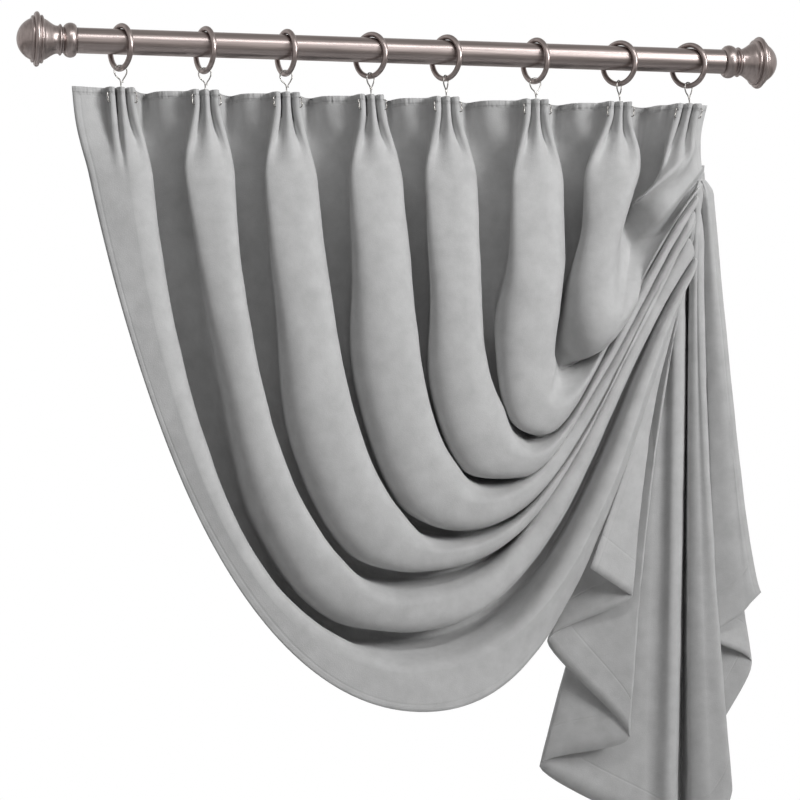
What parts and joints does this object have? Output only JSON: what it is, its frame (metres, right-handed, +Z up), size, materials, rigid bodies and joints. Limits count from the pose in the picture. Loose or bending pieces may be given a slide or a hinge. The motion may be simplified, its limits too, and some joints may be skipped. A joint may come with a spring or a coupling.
{
  "type": "velvet blackout curtain on a rod",
  "caption": "Pinch-pleated velvet curtain swept aside as a swag with a falling tail, on its rod with rings, pleat hooks and ball finials.",
  "frame": {"origin": "on the rod's axis, midway between its ends", "axes": "+X along the rod towards the gathered side, +Y away from the room, +Z up"},
  "size_m": [0.8758, 0.1203, 0.9351],
  "materials": {
    "nickel": "satin brushed nickel plate",
    "steel_wire": "bright drawn wire",
    "velvet": "short matt pile, pale grey"
  },
  "bodies": {
    "root": {"rod": "nickel", "finial_left": "nickel", "finial_right": "nickel", "ring_1": "nickel", "ring_2": "nickel", "ring_3": "nickel", "ring_4": "nickel", "ring_5": "nickel", "ring_6": "nickel", "ring_7": "nickel", "ring_8": "nickel", "hook_1": "steel_wire", "hook_2": "steel_wire", "hook_3": "steel_wire", "hook_4": "steel_wire", "hook_5": "steel_wire", "hook_6": "steel_wire", "hook_7": "steel_wire", "hook_8": "steel_wire", "curtain": "velvet"}
  },
  "joints": []
}
